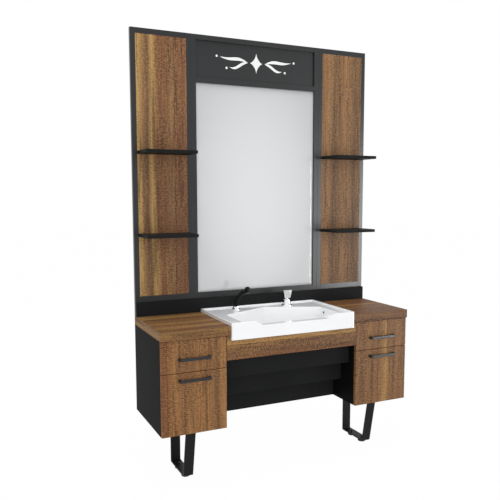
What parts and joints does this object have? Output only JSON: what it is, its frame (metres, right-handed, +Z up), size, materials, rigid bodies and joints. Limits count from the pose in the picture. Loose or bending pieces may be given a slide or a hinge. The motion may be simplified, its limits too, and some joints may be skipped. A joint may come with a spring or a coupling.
{
  "type": "barber station",
  "caption": "Wall-side barber station: mirror between framed panels with shelves, white apron basin with tap and hand spray, and two drawer pedestals on bent flat-bar legs.",
  "frame": {"origin": "on the floor, at the centre of the station's overall width and depth", "axes": "+Z up, +Y from the front towards the wall, +X to the right of a person who faces the mirror"},
  "size_m": [1.6, 0.555, 2.555],
  "materials": {
    "anthracite_board": "anthracite laminate on board, satin",
    "mirror_glass": "silvered glass, polished",
    "hardboard": "brown hardboard, smooth",
    "black_board": "black laminate on board, matt",
    "wood_board": "brown wood laminate with golden streaks, satin",
    "pine": "planed softwood",
    "drawer_board": "grey laminate on board, matt",
    "black_metal": "black powder coat, satin",
    "zinc_steel": "zinc-plated steel",
    "ceramic": "white glaze, glossy",
    "chrome": "polished chrome plate",
    "white_plastic": "white polypropylene",
    "black_plastic": "black plastic, satin"
  },
  "bodies": {
    "station": {"apron": "wood_board", "apron_cleats": "pine", "back_boards": "hardboard", "backsplash": "black_board", "basin_waste": "chrome", "bottle_trap": "white_plastic", "centre_frame": "anthracite_board", "fixed_slides": "zinc_steel", "hanger_plates": "zinc_steel", "header_panel": "anthracite_board", "left_countertop": "wood_board", "left_frame": "anthracite_board", "left_inner_side": "black_board", "left_leg": "black_metal", "left_outer_side": "black_board", "left_panel": "wood_board", "left_shelves": "black_board", "leg_screws": "zinc_steel", "mirror": "mirror_glass", "pedestal_backs": "hardboard", "pedestal_bottoms": "black_board", "pedestal_rails": "black_board", "plumbing_cover": "black_board", "rear_rails": "black_board", "right_countertop": "wood_board", "right_frame": "anthracite_board", "right_inner_side": "black_board", "right_leg": "black_metal", "right_outer_side": "black_board", "right_panel": "wood_board", "right_shelves": "black_board", "shelf_pins": "zinc_steel", "sink": "ceramic", "sink_brackets": "zinc_steel", "spray_holder": "chrome", "tap_body": "chrome"},
    "left_upper_drawer": {"left_upper_drawer_front": "wood_board", "left_upper_drawer_box": "drawer_board", "left_upper_drawer_handle": "black_metal", "left_upper_drawer_slides": "zinc_steel"},
    "left_lower_drawer": {"left_lower_drawer_front": "wood_board", "left_lower_drawer_box": "drawer_board", "left_lower_drawer_handle": "black_metal", "left_lower_drawer_slides": "zinc_steel"},
    "right_upper_drawer": {"right_upper_drawer_front": "wood_board", "right_upper_drawer_box": "drawer_board", "right_upper_drawer_handle": "black_metal", "right_upper_drawer_slides": "zinc_steel"},
    "right_lower_drawer": {"right_lower_drawer_front": "wood_board", "right_lower_drawer_box": "drawer_board", "right_lower_drawer_handle": "black_metal", "right_lower_drawer_slides": "zinc_steel"},
    "left_front_foot": {"left_front_foot": "black_plastic"},
    "left_rear_foot": {"left_rear_foot": "black_plastic"},
    "right_front_foot": {"right_front_foot": "black_plastic"},
    "right_rear_foot": {"right_rear_foot": "black_plastic"},
    "tap_turning_stem": {"tap_stem": "chrome"},
    "tap_handle": {"tap_lever": "chrome"},
    "spray": {"hand_spray": "black_plastic", "spray_nozzle": "chrome"}
  },
  "joints": [
    {"name": "left_upper_drawer_slide", "type": "slide", "parent": "station", "child": "left_upper_drawer", "axis": [0, -1, 0], "range_m": [0, 0.33]},
    {"name": "left_lower_drawer_slide", "type": "slide", "parent": "station", "child": "left_lower_drawer", "axis": [0, -1, 0], "range_m": [0, 0.33]},
    {"name": "right_upper_drawer_slide", "type": "slide", "parent": "station", "child": "right_upper_drawer", "axis": [0, -1, 0], "range_m": [0, 0.33]},
    {"name": "right_lower_drawer_slide", "type": "slide", "parent": "station", "child": "right_lower_drawer", "axis": [0, -1, 0], "range_m": [0, 0.33]},
    {"name": "left_front_foot_levelling", "type": "slide", "parent": "station", "child": "left_front_foot", "axis": [0, 0, -1], "range_m": [0, 0.01]},
    {"name": "left_rear_foot_levelling", "type": "slide", "parent": "station", "child": "left_rear_foot", "axis": [0, 0, -1], "range_m": [0, 0.01]},
    {"name": "right_front_foot_levelling", "type": "slide", "parent": "station", "child": "right_front_foot", "axis": [0, 0, -1], "range_m": [0, 0.01]},
    {"name": "right_rear_foot_levelling", "type": "slide", "parent": "station", "child": "right_rear_foot", "axis": [0, 0, -1], "range_m": [0, 0.01]},
    {"name": "tap_turn", "type": "hinge", "parent": "station", "child": "tap_turning_stem", "pos_m": [0.158, 0.1545, 0.945], "axis": [0, 0, 1], "range_deg": [-60, 60]},
    {"name": "tap_lift", "type": "hinge", "parent": "tap_turning_stem", "child": "tap_handle", "pos_m": [0.158, 0.1545, 0.96], "axis": [-1, 0, 0], "range_deg": [0, 15]},
    {"name": "spray_lift_out", "type": "slide", "parent": "station", "child": "spray", "axis": [0, 0, 1], "range_m": [0, 0.12]}
  ]
}
